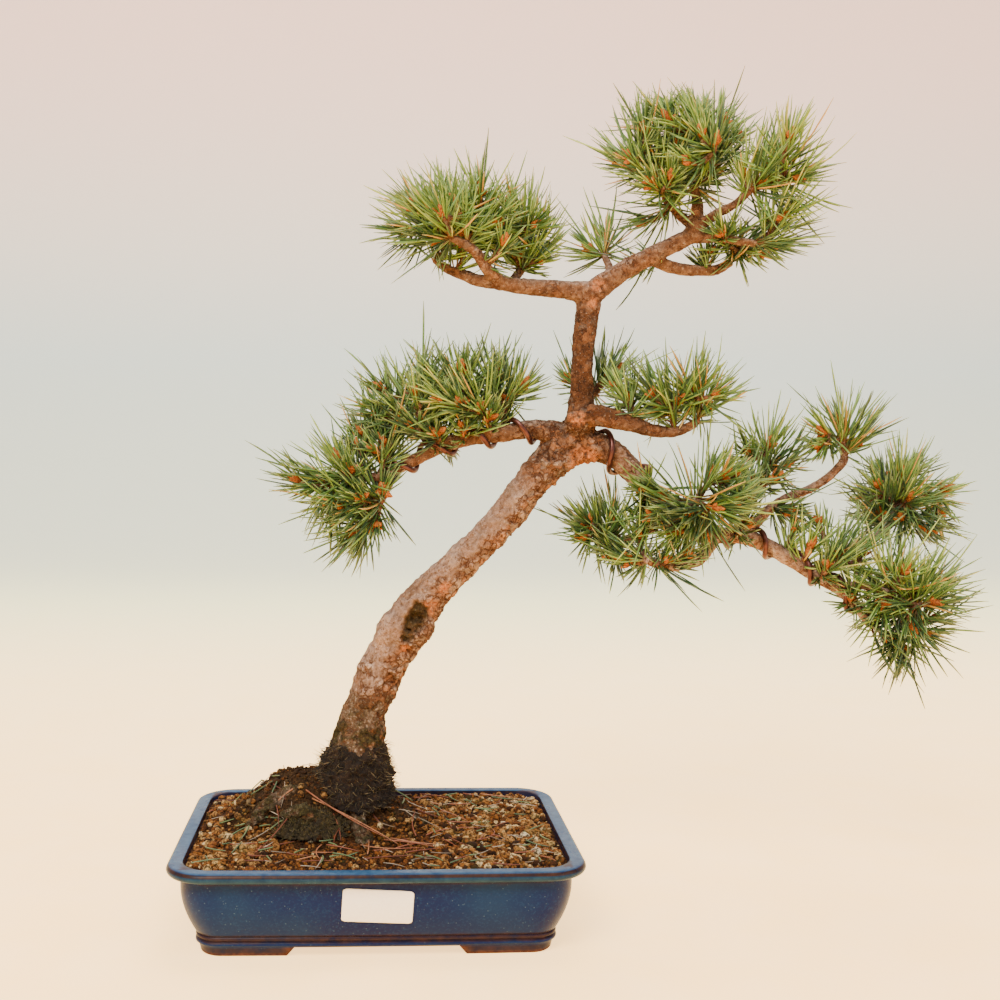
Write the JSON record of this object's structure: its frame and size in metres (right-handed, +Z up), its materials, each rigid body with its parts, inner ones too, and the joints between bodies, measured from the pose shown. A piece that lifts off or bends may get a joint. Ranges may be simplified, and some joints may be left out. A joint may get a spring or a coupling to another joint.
{
  "type": "potted pine bonsai",
  "caption": "Slanting wired pine bonsai with needle pads, rooted in a mound of granular soil in a shallow blue glazed rectangular pot on corner feet.",
  "frame": {"origin": "on the surface the pot stands on, under the middle of the whole plant's box", "axes": "+Z up; +X to the right, the way the tree leans; the pot's labelled front faces -Y"},
  "size_m": [0.4996, 0.1758, 0.5104],
  "materials": {
    "blue_glaze": "deep blue glaze with paler specks, breaking to brown on the rim's edge",
    "granular_soil": "loose tan, ochre and brown clay grains",
    "bark": "flaky grey-pink bark with orange-red patches",
    "dark_moss": "dark matted moss and fibres",
    "green_moss": "low olive moss",
    "brown_wire": "brown anodised, satin",
    "label_paper": "plain cream sticker, semi-gloss",
    "screen_plastic": "dark plastic mesh",
    "clip_wire": "bare drawn wire",
    "needles": "stiff paired pine needles, mid green with yellow tips"
  },
  "bodies": {
    "root": {"pot": "blue_glaze", "soil": "granular_soil", "trunk_and_branches": "bark", "moss_collar": "dark_moss", "moss_patch": "green_moss", "training_wire": "brown_wire", "blank_label": "label_paper", "drain_screen_left": "screen_plastic", "drain_screen_right": "screen_plastic", "screen_clip_left": "clip_wire", "screen_clip_right": "clip_wire", "needles_upper_left": "needles", "needles_apex": "needles", "needles_apex_right": "needles", "needles_behind_fork": "needles", "needles_middle_left": "needles", "needles_left_droop": "needles", "needles_middle_right": "needles", "needles_by_leader": "needles", "needles_right_inner": "needles", "needles_right_low": "needles", "needles_right_upper": "needles", "needles_right_tuft": "needles", "needles_right_back": "needles", "needles_right_tip": "needles"}
  },
  "joints": []
}
